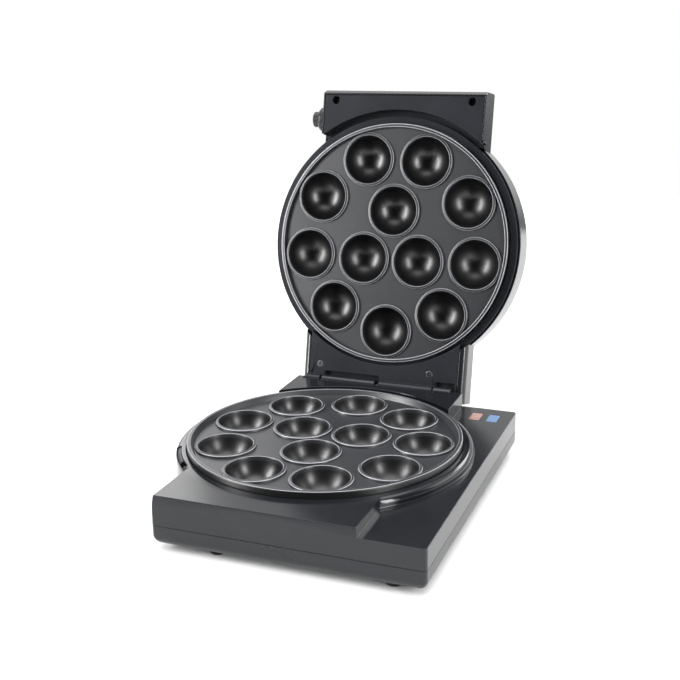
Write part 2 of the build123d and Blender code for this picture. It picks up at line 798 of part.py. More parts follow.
def make_cover():
    """Outer shell of the lid: round top, grip and hinge block."""
    outer = lid_round_part(0, cover_edge_z) + handle_volume(0, lid_face) + lid_block_volume(0)
    wall = cover_wall
    inner = lid_round_part(wall, 0) + handle_volume(handle_wall, lid_face - 1) + lid_block_volume(wall)
    face_x = lid_block_half - lid_block_rim
    inner += block((-face_x, face_x), (70, lid_block_face_y - lid_block_rim / 2), (lid_face - 1, lid_face + wall + 1))
    cover = outer - inner
    cover -= post(0, 0, handle_edge_radius + face_gap, lid_face - 1, cover_edge_z) & block((-200, 200), (-200, 0), (0, 50))
    cover -= post(0, 0, flange_outer_radius + face_gap, lid_face - 1, cover_edge_z) & block((-200, 200), (0, 200), (0, 50))
    cover -= post(0, 0, cover_recess_radius, cover_top - cover_recess, cover_top + 1)
    for x, y in handle_screw_places:
        cover += post(x, y, boss_radius, lid_face + frame_wall + handle_well_depth + 0.2, handle_top - wall / 2)
    for x, y in block_screw_places:
        cover += post(x, y, boss_radius, lid_face + frame_wall + 0.2, lid_block_top - wall / 2)
    for x, y in handle_screw_places:
        cover -= post(x, y, screw_radius + screw_fit, lid_face, lid_face + handle_well_depth + lid_screw_length + 1)
    for x, y in block_screw_places:
        cover -= post(x, y, screw_radius + screw_fit, lid_face, lid_face + lid_screw_length + 3)
    return cover - rod(bezel_collar_radius + 0.1, handle_left_x - 1, handle_left_x + wall + 1, button_y, button_z)


def make_frame():
    """Inner frame of the lid: flange round the plate, grip face and hinge block face."""
    gap = handle_wall + face_gap
    frame = ring(flange_inner_radius, flange_outer_radius, flange_z, flange_z + frame_wall)
    frame += ring(frame_skirt_radius - frame_wall, frame_skirt_radius, flange_z, frame_skirt_top)
    skirt_inner = frame_skirt_radius - frame_wall
    ledge_ends = (skirt_inner - ledge_reach, skirt_inner + 0.5, upper_ledge, upper_ledge + ledge_thickness)
    frame += sector(*ledge_ends, upper_hook_gap[1], 360 + upper_hook_gap[0])
    # Grip face, with the channel between it and the flange
    grip = handle_volume(gap, lid_face)
    grip_face = grip & block((-200, 200), (-200, 0), (lid_face, lid_face + frame_wall))
    frame += grip_face - post(0, 0, handle_edge_radius, 0, 50)
    grip_walls = ring(channel_inner_radius, handle_edge_radius, lid_face, channel_floor_z + frame_wall)
    grip_floor = ring(frame_skirt_radius - 0.5, handle_edge_radius, channel_floor_z, channel_floor_z + frame_wall)
    side_x = (handle_left_x + gap, handle_right_x - gap)
    frame += (grip_walls + grip_floor) & block(side_x, (-200, -84), (0, 50))
    # Hinge block face, with the knuckles and the pockets over the base knuckles
    face_x = lid_block_half - lid_block_rim - face_gap
    face_y = lid_block_face_y - lid_block_rim / 2 - face_gap
    face = block((-face_x, face_x), (70, face_y), (lid_face, lid_face + frame_wall))
    frame += face - post(0, 0, lid_block_edge_radius, 0, 50)
    edge = ring(lid_block_edge_radius, lid_block_edge_radius + frame_wall, lid_face, flange_z + 1)
    frame += edge & block((-face_x, face_x), (70, 130), (0, 50))
    for start, end in base_knuckles:
        pocket_x = (start - 0.8, end + 0.8)
        depth = lid_face + pocket_depth
        frame += block(
            (pocket_x[0] - 1.2, min(pocket_x[1] + 1.2, face_x)),
            (pocket_front_y - 1.2, face_y),
            (lid_face + frame_wall / 2, depth + 1.2),
        )
        frame -= block(pocket_x, (pocket_front_y, pocket_rear_y - 1.4), (lid_face - 1, depth))
    for start, end in lid_knuckles:
        frame += rod(knuckle_radius, start, end, hinge_y, hinge_z)
        frame += block((start, end), (hinge_y - 4.6, hinge_y + 3.6), (hinge_z, lid_face + frame_wall))
    frame -= rod(pin_radius + pin_fit, lid_knuckles[0][0] - 1, base_knuckles[1][1] + 1, hinge_y, hinge_z)
    # Wells for the grip screws and countersinks for the block screws
    for x, y in handle_screw_places:
        frame += post(x, y, handle_well_radius + 0.7, lid_face + 0.5, lid_face + frame_wall + handle_well_depth)
        frame -= post(x, y, handle_well_radius, lid_face - 1, lid_face + handle_well_depth)
        frame -= post(x, y, screw_radius + 0.2, lid_face, lid_face + 20)
    for x, y in block_screw_places:
        frame += post(x, y, boss_radius + 0.8, lid_face + 0.5, lid_face + frame_wall)
        frame -= post(x, y, screw_radius + 0.2, lid_face - 1, lid_face + 20)
        frame -= post(x, y, screw_head_radius + 0.2, lid_face - 1, lid_face + 1.2)
    # Seat for the button's spring
    frame += block(
        (button_spring_seat, button_spring_seat + 2),
        (button_y - 3.5, button_y + 3.2),
        (lid_face + 1, button_z + button_spring_radius + 0.6),
    )
    return frame - button_room() - upper_hook_room()


def button_room():
    """Window in the frame for the arm of the release button, and a gap in the ledge."""
    arm_end = button_arm_x + button_arm_width + button_travel + 1
    low = button_bar_z - 0.5
    high = button_bar_z + button_bar_height + 0.5
    window = block((button_arm_x - 1, arm_end), (-frame_skirt_radius - 1, -frame_skirt_radius + 3), (low, high))
    tongue_start = button_arm_x - upper_tongue_length - 1
    skirt_inner = frame_skirt_radius - frame_wall
    gap = block((tongue_start, arm_end), (-skirt_inner + 0.1, -90), (upper_ledge - 0.1, low + 3))
    return window + gap


def upper_hook_room():
    skirt = frame_skirt_radius
    reach = (skirt - frame_wall - ledge_reach - 1, skirt + 0.5)
    return sector(*reach, upper_ledge + 0.5, upper_ledge + 3.2, *upper_hook_gap)


def make_upper_plate():
    """The lid's baking plate, turned over, with its latch lug and fixed hook."""
    lip = upper_bead_drop
    skirt = plate_gap - upper_skirt_top
    plate = make_plate(lip, upper_plate_radius, upper_bead_width, skirt)
    plate = Pos(0, 0, plate_gap) * mirror(plate, Plane.XY)
    lug_x = (button_arm_x - upper_tongue_length + 1.8, button_arm_x - upper_tongue_length + 3.8)
    lug_y = (upper_tongue_y - latch_gap - lug_wall, upper_tongue_y + upper_tongue_width + latch_gap + lug_wall)
    lug_top = button_bar_z + upper_tongue_height + latch_gap + lug_wall
    lug = block(lug_x, lug_y, (upper_skirt_top + 0.3, lug_top))
    lug += block(lug_x, (-upper_plate_radius + 0.3, lug_y[1]), (plate_gap + web_drop + 1, upper_skirt_top + 1))
    lug -= block(
        (lug_x[0] - 1, lug_x[1] + 1),
        (upper_tongue_y - latch_gap, upper_tongue_y + upper_tongue_width + latch_gap),
        (button_bar_z - latch_gap, button_bar_z + upper_tongue_height + latch_gap),
    )
    skirt_inner = upper_plate_radius - plate_wall
    hook_low = upper_ledge + 1.0
    hook_high = upper_ledge + 2.6
    hook = sector(skirt_inner + 0.2, upper_plate_radius - 0.2, upper_skirt_top - 1, hook_high, *upper_hook_angles)
    hook += sector(skirt_inner + 0.2, frame_skirt_radius - 0.4, hook_low, hook_high, *upper_hook_angles)
    return plate + lug + hook


def make_upper_pan():
    """Reflector pan over the lid's plate."""
    pan = mirror(pan_shell(-upper_skirt_top - upper_pan_depth, -upper_skirt_top - pan_sheet), Plane.XY)
    low = upper_skirt_top - 1
    high = upper_skirt_top + 2
    lug_start = button_arm_x - upper_tongue_length
    pan -= block((lug_start, lug_start + 6), (-pan_flange_radius - 1, -pan_inner_radius - pan_sheet), (low, high))
    pan -= sector(pan_inner_radius + pan_sheet + 1, pan_flange_radius + 1, low, high, *upper_hook_gap)
    return pan - element_holes(upper_element_z)


def make_upper_clips():
    floor = upper_skirt_top + upper_pan_depth - pan_sheet
    return [mirror(clip, Plane.XY) for clip in make_clips(-upper_element_z, -floor)]


def make_button():
    """Release button of the lid plate: round cap, bar and tongue in one sliding piece."""
    cap_end = handle_left_x - button_reach
    cap = rod(button_radius, cap_end, button_inner_end - 2, button_y, button_z)
    cap = fillet(cap.edges().group_by(Axis.X)[0], 0.8)
    carrier = rod(button_radius + 1.4, button_inner_end - 2, button_inner_end, button_y, button_z)
    carrier &= block((-100, 0), (button_y - 20, button_y + button_spring_radius + 2.5), (0, 40))
    bar_y = (button_bar_y, button_bar_y + button_bar_width)
    bar_z = (button_bar_z, button_bar_z + button_bar_height)
    arm_x = (button_arm_x, button_arm_x + button_arm_width)
    bar = block((button_inner_end - 2, arm_x[1]), bar_y, bar_z)
    arm = block(arm_x, (button_bar_y, upper_tongue_y + upper_tongue_width), bar_z)
    tongue = block(
        (button_arm_x - upper_tongue_length, arm_x[1]),
        (upper_tongue_y, upper_tongue_y + upper_tongue_width),
        (button_bar_z, button_bar_z + upper_tongue_height),
    )
    button = cap + carrier + bar + arm + tongue
    return button - rod(button_spring_radius + 0.5, cap_end + 2.5, button_inner_end + 1, button_y, button_z)


def make_bezel():
    """Domed collar round the release button."""
    face = handle_left_x
    profile = rounded(
        [
            (button_radius + button_fit, bezel_height),
            (button_radius + button_fit, -cover_wall - 0.8),
            (bezel_collar_radius, -cover_wall - 0.8),
            (bezel_collar_radius, 0),
            (bezel_radius, 0),
            (bezel_radius, bezel_height),
        ],
        [(5, 3.2)],
    )
    return Pos(face, button_y, button_z) * Rot(0, -90, 0) * turned(profile)


def make_button_spring():
    start = handle_left_x - button_reach + 2.7
    length = button_spring_seat - 0.2 - start
    return Pos(start, button_y, button_z) * Rot(0, 90, 0) * coil(button_spring_radius, length, 8)


def make_lid_thermostat():
    """Thermal cut-out on the back of the lid's reflector pan, under the round top."""
    top = upper_skirt_top + upper_pan_depth
    return post(0, -30, 9, top, top + 1) + post(0, -30, 5, top, cover_top - cover_wall - cover_recess - 0.4)


def make_handle_screws():
    screw = make_screw(lid_screw_length - 1)
    return [Pos(x, y, lid_face + handle_well_depth) * screw for x, y in handle_screw_places]


def make_block_screws():
    screw = make_screw(lid_screw_length, 1.2)
    return [Pos(x, y, lid_face + 1.2) * screw for x, y in block_screw_places]


def open_lid(shape):
    return shape.rotate(hinge_axis, -opening_angle)


def as_list(shape):
    return list(shape) if isinstance(shape, (list, tuple)) else [shape]


base_pieces = {
    "base_housing": make_housing() + make_lever_shelf(),
    "bottom_tray": make_tray(),
    "rubber_feet": make_feet(),
    "tray_screws": make_tray_screws(),
    "lower_baking_plate": make_lower_plate(),
    "lower_reflector_pan": make_lower_pan(),
    "lower_heating_element": make_element(lower_element_z, lower_element_end),
    "lower_element_clips": make_clips(lower_element_z, ledge_top + 2 * pan_sheet - lower_pan_depth),
    "plate_release_lever": make_lever(),
    "lever_spring": make_lever_spring(),
    "red_lamp_lens": lens_solid(red_lens_centre),
    "blue_lamp_lens": lens_solid(blue_lens_centre),
    "indicator_board": make_board(),
    "indicator_lamps": make_lamps(),
    "thermostat": make_thermostat(),
    "thermal_fuse": make_fuse(),
    "terminal_block": make_terminal_block(),
    "cable_bush": make_cable_bush(),
    "hinge_pin": make_pin(),
}
lid_pieces = {
    "lid_cover": make_cover(),
    "lid_inner_frame": make_frame(),
    "upper_baking_plate": make_upper_plate(),
    "upper_reflector_pan": make_upper_pan(),
    "upper_heating_element": make_element(upper_element_z, upper_element_end),
    "upper_element_clips": make_upper_clips(),
    "lid_thermal_cutout": make_lid_thermostat(),
    "lid_release_button": make_button(),
    "button_bezel": make_bezel(),
    "button_spring": make_button_spring(),
    "handle_screws": make_handle_screws(),
    "hinge_block_screws": make_block_screws(),
}

pieces = {name: as_list(shape) for name, shape in base_pieces.items()}
pieces |= {name: [open_lid(part) for part in as_list(shape)] for name, shape in lid_pieces.items()}
whole = Compound([part for parts in pieces.values() for part in parts]).bounding_box()
middle = Vector((whole.min.X + whole.max.X) / 2, (whole.min.Y + whole.max.Y) / 2, whole.min.Z)
print(f"origin in the plate's frame: {middle.X:.4f} {middle.Y:.4f} {middle.Z:.4f}")
print(f"overall size: {whole.size.X:.1f} x {whole.size.Y:.1f} x {whole.size.Z:.1f} mm")

os.makedirs("parts", exist_ok=True)
for name, parts in pieces.items():
    solids = [solid for part in parts for solid in (Location(-middle) * part).solids()]
    export_step(Compound(solids) if len(solids) > 1 else solids[0], f"parts/{name}.step")
    print(f"{name}: {len(solids)}")
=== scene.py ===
import json
import math

import bmesh
import bpy
from mathutils import Matrix, Vector


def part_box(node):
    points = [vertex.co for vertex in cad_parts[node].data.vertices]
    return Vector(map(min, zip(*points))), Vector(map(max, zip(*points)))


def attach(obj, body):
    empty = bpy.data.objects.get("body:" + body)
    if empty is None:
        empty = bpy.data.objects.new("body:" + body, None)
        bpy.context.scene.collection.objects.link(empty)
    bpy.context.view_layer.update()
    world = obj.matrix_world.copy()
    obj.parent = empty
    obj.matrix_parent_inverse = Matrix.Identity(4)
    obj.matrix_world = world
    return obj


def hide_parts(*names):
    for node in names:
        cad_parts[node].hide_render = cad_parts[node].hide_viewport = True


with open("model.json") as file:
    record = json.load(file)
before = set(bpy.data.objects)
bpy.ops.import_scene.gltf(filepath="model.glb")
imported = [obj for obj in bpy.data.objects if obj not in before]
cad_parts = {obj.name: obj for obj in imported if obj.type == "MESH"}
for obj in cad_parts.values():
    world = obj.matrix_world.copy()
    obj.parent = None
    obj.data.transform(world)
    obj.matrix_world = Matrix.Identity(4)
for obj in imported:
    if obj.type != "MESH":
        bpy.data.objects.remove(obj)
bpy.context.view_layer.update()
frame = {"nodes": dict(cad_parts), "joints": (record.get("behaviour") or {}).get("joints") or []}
nodes = frame["nodes"]
mm = 0.001

# where things are, read from the frame
lipAboveRim = 4.2 * mm  # the CAD plate's lip over the rims of its moulds
plateGap = 6.0 * mm  # between the mould rims of the two plates when the lid is shut
plateLow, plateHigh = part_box("lower_baking_plate")
plateCentre = Vector((
    (plateLow[0] + plateHigh[0]) / 2, (plateLow[1] + plateHigh[1]) / 2, plateHigh[2] - lipAboveRim
))
hinge = next(joint for joint in frame["joints"] if joint["name"] == "lid_hinge")
hingePoint = Vector(hinge["pos_m"])
openTurn = Matrix.Rotation(-math.radians(hinge["range_deg"][1]), 4, "X")
openLid = Matrix.Translation(hingePoint) @ openTurn @ Matrix.Translation(-hingePoint)
lidCentre = openLid @ plateCentre
print("frame read: plate centre", [round(v, 4) for v in plateCentre])


# sockets of the Mix node when it mixes colours, which share their names with its other kinds
mixFirst, mixSecond, mixResult = 6, 7, 2


def addNode(tree, kind, place, **values):
    node = tree.nodes.new(kind)
    node.location = place
    for name, value in values.items():
        setattr(node, name, value)
    return node


def feed(tree, socket, value):
    # value is another node's socket to link, or a plain value to set
    if isinstance(value, bpy.types.NodeSocket):
        tree.links.new(value, socket)
    else:
        socket.default_value = value


def newGroup(name, inputs, outputs):
    group = bpy.data.node_groups.new(name, "ShaderNodeTree")
    for direction, sockets in (("INPUT", inputs), ("OUTPUT", outputs)):
        for label, kind in sockets.items():
            group.interface.new_socket(name=label, in_out=direction, socket_type="NodeSocket" + kind)
    source = addNode(group, "NodeGroupInput", (-900, 0))
    sink = addNode(group, "NodeGroupOutput", (600, 0))
    return group, source.outputs, sink.inputs


def objectCoords(tree, place):
    return addNode(tree, "ShaderNodeTexCoord", place).outputs["Object"]


def noise(tree, place, coords, scale, detail, rough):
    node = addNode(tree, "ShaderNodeTexNoise", place)
    for label, value in {"Vector": coords, "Scale": scale, "Detail": detail, "Roughness": rough}.items():
        feed(tree, node.inputs[label], value)
    return node.outputs["Fac"]


def remap(tree, place, value, before, after, kind="LINEAR"):
    node = addNode(tree, "ShaderNodeMapRange", place, interpolation_type=kind)
    labels = ("Value", "From Min", "From Max", "To Min", "To Max")
    for label, setting in zip(labels, (value, *before, *after)):
        feed(tree, node.inputs[label], setting)
    return node.outputs["Result"]


def compute(tree, place, operation, first, second):
    node = addNode(tree, "ShaderNodeMath", place, operation=operation)
    feed(tree, node.inputs[0], first)
    feed(tree, node.inputs[1], second)
    return node.outputs[0]


def mixColours(tree, place, factor, first, second, blend="MIX"):
    node = addNode(tree, "ShaderNodeMix", place, data_type="RGBA", blend_type=blend)
    feed(tree, node.inputs["Factor"], factor)
    feed(tree, node.inputs[mixFirst], first)
    feed(tree, node.inputs[mixSecond], second)
    return node.outputs[mixResult]


surfaceOutputs = {"Color": "Color", "Roughness": "Float", "Height": "Float"}

grainPlan = {
    "pits": {"detail": 3.0, "rough": 0.6},
    "patches": {"scale": 14.0, "detail": 4.0, "rough": 0.55},
    "tintFrom": (0.35, 0.65), "glossFrom": (0.3, 0.7),
}


def buildMouldedGrain(plan):
    # spark-eroded texture of moulded plastic: fine pits, faint flow patches, gloss that wanders
    group, source, sink = newGroup(
        "mouldedGrain",
        {"Grain": "Float", "Gloss Low": "Float", "Gloss High": "Float", "Dark": "Color", "Light": "Color"},
        surfaceOutputs,
    )
    coords = objectCoords(group, (-900, -250))
    pits = noise(group, (-600, 200), coords, source["Grain"], **plan["pits"])
    patches = noise(group, (-600, -150), coords, **plan["patches"])
    spread = remap(group, (-350, 0), patches, plan["tintFrom"], (0.0, 1.0))
    tint = mixColours(group, (-100, 200), spread, source["Dark"], source["Light"])
    glossTo = (source["Gloss Low"], source["Gloss High"])
    gloss = remap(group, (-100, -150), patches, plan["glossFrom"], glossTo)
    feed(group, sink["Color"], tint)
    feed(group, sink["Roughness"], gloss)
    feed(group, sink["Height"], pits)
    return group


specklePlan = {
    "specks": {"scale": 1900.0, "detail": 2.0, "rough": 0.7},
    "peel": {"scale": 520.0, "detail": 2.0, "rough": 0.5},
    "wander": {"scale": 18.0, "detail": 3.0, "rough": 0.5},
    "speckFrom": (0.6, 0.72), "roughFrom": (0.3, 0.7), "roughTo": (0.33, 0.4),
}


def buildCoatingSpeckle(plan):
    # sprayed non-stick coating: orange peel, fine paler specks
    group, source, sink = newGroup(
        "coatingSpeckle", {"Base": "Color", "Speck": "Color", "Speck Amount": "Float"}, surfaceOutputs
    )
    coords = objectCoords(group, (-900, -250))
    specks = noise(group, (-600, 250), coords, **plan["specks"])
    peel = noise(group, (-600, -50), coords, **plan["peel"])
    wander = noise(group, (-600, -350), coords, **plan["wander"])
    mask = remap(group, (-350, 250), specks, plan["speckFrom"], (0.0, 1.0))
    amount = compute(group, (-150, 250), "MULTIPLY", mask, source["Speck Amount"])
    feed(group, sink["Color"], mixColours(group, (100, 200), amount, source["Base"], source["Speck"]))
    feed(group, sink["Roughness"], remap(group, (100, -250), wander, plan["roughFrom"], plan["roughTo"]))
    feed(group, sink["Height"], peel)
    return group


mouldedGrain = buildMouldedGrain(grainPlan)
coatingSpeckle = buildCoatingSpeckle(specklePlan)


def newMaterial(name):
    material = bpy.data.materials.new(name)
    material.use_nodes = True
    return material, material.node_tree, material.node_tree.nodes["Principled BSDF"]


def placeGroup(tree, group, values):
    node = addNode(tree, "ShaderNodeGroup", (-500, 0), node_tree=group)
    for label, value in values.items():
        node.inputs[label].default_value = value
    return node.outputs


def bumpFrom(tree, shader, height, strength, distance):
    bump = addNode(tree, "ShaderNodeBump", (-200, -250))
    bump.inputs["Strength"].default_value = strength
    bump.inputs["Distance"].default_value = distance
    feed(tree, bump.inputs["Height"], height)
    feed(tree, shader.inputs["Normal"], bump.outputs["Normal"])


plasticBump = 0.35


def plasticMaterial(name, dark, light, gloss, grain, depth, specular=0.5):
    material, tree, shader = newMaterial(name)
    surface = placeGroup(tree, mouldedGrain, {
        "Grain": grain, "Gloss Low": gloss[0], "Gloss High": gloss[1],
        "Dark": (*dark, 1), "Light": (*light, 1),
    })
    feed(tree, shader.inputs["Base Color"], surface["Color"])
    feed(tree, shader.inputs["Roughness"], surface["Roughness"])
    shader.inputs["Specular IOR Level"].default_value = specular
    bumpFrom(tree, shader, surface["Height"], plasticBump, depth)
    return material


zoneFade = 0.2 * mm


def glossyZone(material, along, centre, near, far, polish):
    # polished ring or barrel: the roughness is scaled where the distance from an axis is between near and far
    tree = material.node_tree
    roughness = tree.nodes["Principled BSDF"].inputs["Roughness"]
    offset = addNode(tree, "ShaderNodeVectorMath", (-1100, -500), operation="SUBTRACT")
    feed(tree, offset.inputs[0], objectCoords(tree, (-1300, -500)))
    offset.inputs[1].default_value = centre
    flat = addNode(tree, "ShaderNodeVectorMath", (-950, -500), operation="MULTIPLY")
    feed(tree, flat.inputs[0], offset.outputs["Vector"])
    flat.inputs[1].default_value = [0.0 if axis == along else 1.0 for axis in "XYZ"]
    reach = addNode(tree, "ShaderNodeVectorMath", (-800, -500), operation="LENGTH")
    feed(tree, reach.inputs[0], flat.outputs["Vector"])
    inside = remap(tree, (-650, -450), reach.outputs["Value"], (far, far + zoneFade), (1.0, 0.0))
    beyond = remap(tree, (-650, -700), reach.outputs["Value"], (near - zoneFade, near), (0.0, 1.0))
    zone = compute(tree, (-450, -550), "MULTIPLY", inside, beyond)
    scale = remap(tree, (-300, -550), zone, (0.0, 1.0), (1.0, polish))
    feed(tree, roughness, compute(tree, (-150, -450), "MULTIPLY", roughness.links[0].from_socket, scale))


def coatingMaterial(name, plan):
    # satin on the flats; glossier in the moulds and on the plate's outer wall, which are also darkened with
    # painted shade; pale rings of painted highlight in the colour of bare metal along the bead crests
    material, tree, shader = newMaterial(name)
    surface = placeGroup(tree, coatingSpeckle, {
        "Base": (*plan["flat"], 1), "Speck": (*plan["speck"], 1), "Speck Amount": plan["amount"],
    })
    shadeAndGloss = addNode(tree, "ShaderNodeAttribute", (-900, 300), attribute_name="shadeAndGloss").outputs["Fac"]
    paintedHighlight = addNode(tree, "ShaderNodeAttribute", (-900, 550), attribute_name="paintedHighlight").outputs["Fac"]
    # painted shade: the near-black deep colour darkens the moulds and the plate's outer wall, standing in for
    # dark reflections
    tint = mixColours(tree, (-250, 250), shadeAndGloss, surface["Color"], (*plan["deep"], 1))
    # painted highlight: pale rings in the colour of bare metal along the bead crests
    highlightAmount = compute(tree, (-500, 500), "MULTIPLY", paintedHighlight, plan["highlightStrength"])
    feed(tree, shader.inputs["Base Color"], mixColours(tree, (-50, 350), highlightAmount, tint, (*plan["highlightTone"], 1)))
    polish = remap(tree, (-500, -300), shadeAndGloss, (0.0, 1.0), (1.0, plan["polish"]))
    rough = compute(tree, (-250, -50), "MULTIPLY", surface["Roughness"], polish)
    feed(tree, shader.inputs["Roughness"], rough)
    shader.inputs["Specular IOR Level"].default_value = plan["specular"]
    bumpFrom(tree, shader, surface["Height"], plan["bump"], plan["depth"])
    return material


metalPlan = {
    "noise": {"scale": 900.0, "detail": 3.0, "rough": 0.6}, "from": (0.3, 0.7), "tone": (0.8, 1.1),
    "smoother": 0.06, "rougher": 0.08, "bump": 0.1, "depth": 0.05 * mm,
}


def metalMaterial(name, colour, rough, streak):
    material, tree, shader = newMaterial(name)
    plan = metalPlan
    stretch = addNode(tree, "ShaderNodeMapping", (-800, 0))
    feed(tree, stretch.inputs["Vector"], objectCoords(tree, (-1000, 0)))
    stretch.inputs["Scale"].default_value = (1.0, 1.0, streak)
    streaks = noise(tree, (-600, 0), stretch.outputs["Vector"], **plan["noise"])
    tone = remap(tree, (-350, 100), streaks, plan["from"], plan["tone"])
    tint = mixColours(tree, (-150, 200), 1.0, (*colour, 1), tone, "MULTIPLY")
    feed(tree, shader.inputs["Base Color"], tint)
    spread = (rough - plan["smoother"], rough + plan["rougher"])
    feed(tree, shader.inputs["Roughness"], remap(tree, (-350, -150), streaks, plan["from"], spread))
    shader.inputs["Metallic"].default_value = 1.0
    bumpFrom(tree, shader, streaks, plan["bump"], plan["depth"])
    return material


lensPlan = {
    "noise": {"scale": 300.0, "detail": 2.0, "rough": 0.5}, "from": (0.3, 0.7), "tone": (0.75, 1.1),
    "roughness": 0.12, "coat": 0.6,
}


def lensMaterial(name, colour, glow):
    material, tree, shader = newMaterial(name)
    plan = lensPlan
    cloud = noise(tree, (-700, 0), objectCoords(tree, (-900, 0)), **plan["noise"])
    tone = remap(tree, (-450, 0), cloud, plan["from"], plan["tone"])
    tint = mixColours(tree, (-200, 100), 1.0, (*colour, 1), tone, "MULTIPLY")
    feed(tree, shader.inputs["Base Color"], tint)
    feed(tree, shader.inputs["Emission Color"], tint)
    shader.inputs["Emission Strength"].default_value = glow
    shader.inputs["Roughness"].default_value = plan["roughness"]
    shader.inputs["Coat Weight"].default_value = plan["coat"]
    return material


bodyPlastic = plasticMaterial(
    "bodyPlastic", dark=(0.009, 0.010, 0.012), light=(0.013, 0.014, 0.017), gloss=(0.16, 0.21),
    grain=2600.0, depth=0.04 * mm, specular=0.4,
)
trayPlastic = plasticMaterial(
    "trayPlastic", dark=(0.009, 0.010, 0.012), light=(0.013, 0.014, 0.017), gloss=(0.24, 0.30),
    grain=2600.0, depth=0.04 * mm, specular=0.4,
)
coverPlastic = plasticMaterial(
    "coverPlastic", dark=(0.008, 0.009, 0.011), light=(0.012, 0.013, 0.015), gloss=(0.16, 0.22),
    grain=2600.0, depth=0.03 * mm,
)
framePlastic = plasticMaterial(
    "framePlastic", dark=(0.014, 0.015, 0.018), light=(0.020, 0.022, 0.026), gloss=(0.30, 0.36),
    grain=2600.0, depth=0.05 * mm, specular=0.2,
)
controlPlastic = plasticMaterial(
    "controlPlastic", dark=(0.016, 0.016, 0.018), light=(0.022, 0.022, 0.025), gloss=(0.34, 0.44),
    grain=2200.0, depth=0.06 * mm,
)
footRubber = plasticMaterial(
    "footRubber", dark=(0.012, 0.012, 0.012), light=(0.022, 0.022, 0.022), gloss=(0.7, 0.85),
    grain=900.0, depth=0.2 * mm, specular=0.3,
)
nylonBlock = plasticMaterial(
    "nylonBlock", dark=(0.62, 0.60, 0.52), light=(0.74, 0.72, 0.64), gloss=(0.35, 0.45),
    grain=1200.0, depth=0.05 * mm,
)
boardGreen = plasticMaterial(
    "boardGreen", dark=(0.02, 0.09, 0.03), light=(0.03, 0.14, 0.05), gloss=(0.3, 0.4),
    grain=900.0, depth=0.05 * mm,
)
phenolic = plasticMaterial(
    "phenolic", dark=(0.12, 0.06, 0.025), light=(0.2, 0.11, 0.05), gloss=(0.4, 0.5),
    grain=900.0, depth=0.05 * mm,
)
# the ring wall round the lower plate, and the hinge barrels
glossyZone(bodyPlastic, "Z", plateCentre, near=104.0 * mm, far=113.3 * mm, polish=0.4)
glossyZone(framePlastic, "X", hingePoint, near=-1.0 * mm, far=5.6 * mm, polish=0.35)
plateCoating = coatingMaterial("plateCoating", {
    "flat": (0.020, 0.021, 0.024), "speck": (0.09, 0.09, 0.10), "amount": 0.3,
    # the deep colour is painted shade for the moulds and the plates' outer walls
    "deep": (0.0035, 0.0035, 0.0038), "polish": 0.95, "specular": 0.85,
    # the pale metal colour is painted highlight along the bead crests
    "highlightTone": (0.60, 0.61, 0.65), "highlightStrength": 0.9, "bump": 0.1, "depth": 0.1 * mm,
})
panSteel = metalMaterial("panSteel", (0.55, 0.55, 0.54), rough=0.32, streak=0.1)
elementSheath = metalMaterial("elementSheath", (0.16, 0.15, 0.14), rough=0.45, streak=1.0)
plainSteel = metalMaterial("plainSteel", (0.55, 0.55, 0.56), rough=0.28, streak=0.2)
blackSteel = metalMaterial("blackSteel", (0.05, 0.05, 0.05), rough=0.35, streak=1.0)
darkZinc = metalMaterial("darkZinc", (0.2, 0.2, 0.21), rough=0.3, streak=1.0)
springWire = metalMaterial("springWire", (0.6, 0.6, 0.6), rough=0.22, streak=1.0)
redWindow = lensMaterial("redWindow", (0.33, 0.15, 0.115), glow=0.1)
blueWindow = lensMaterial("blueWindow", (0.045, 0.15, 0.33), glow=0.11)
lampGlass = lensMaterial("lampGlass", (0.8, 0.7, 0.6), glow=0.05)
print("materials built")


def addPiece(name, mesh, material, body, replaced):
    mesh.materials.clear()
    mesh.materials.append(material)
    piece = bpy.data.objects.new(name, mesh)
    bpy.context.scene.collection.objects.link(piece)
    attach(piece, body)
    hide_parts(replaced)


def finishMesh(mesh, sharpAngle):
    mesh.shade_smooth()
    mesh.set_sharp_from_angle(angle=math.radians(sharpAngle))
    mesh.update()


def bakeModifiers(mesh, name, addModifiers):
    # modifiers are run on a passing object and their result becomes the mesh
    holder = bpy.data.objects.new(name + "Work", mesh)
    bpy.context.scene.collection.objects.link(holder)
    addModifiers(holder)
    bpy.context.view_layer.update()
    result = bpy.data.meshes.new_from_object(holder.evaluated_get(bpy.context.evaluated_depsgraph_get()))
    bpy.data.objects.remove(holder)
    result.name = name
    return result


cleaning = {"weld": 0.02 * mm, "snap": 0.005 * mm, "flatWithin": 0.2}
seamCuts = [((1, 0, 0), plateCentre), ((0, 1, 0), plateCentre), ((0, 0, 1), lidCentre)]


def mergedCopy(node):
    # the CAD triangles joined back into flat faces
    mesh = nodes[node].data.copy()
    shape = bmesh.new()
    shape.from_mesh(mesh)
    bmesh.ops.remove_doubles(shape, verts=shape.verts, dist=cleaning["weld"])
    bmesh.ops.dissolve_degenerate(shape, dist=cleaning["weld"], edges=shape.edges)
    # cut through the round openings first, so that no flat face has to close round a hole
    for axis, centre in seamCuts:
        everything = shape.verts[:] + shape.edges[:] + shape.faces[:]
        cut = bmesh.ops.bisect_plane(
            shape, geom=everything, dist=cleaning["snap"], plane_co=centre, plane_no=axis
        )
        for part in cut["geom_cut"]:
            if isinstance(part, bmesh.types.BMEdge):
                part.seam = True
    bmesh.ops.dissolve_limit(
        shape, angle_limit=math.radians(cleaning["flatWithin"]), verts=shape.verts, edges=shape.edges,
        use_dissolve_boundaries=False, delimit={"SEAM"},
    )
    shape.to_mesh(mesh)
    shape.free()
    return mesh


edgeAngles = {"rounded": 35, "sharp": 40}


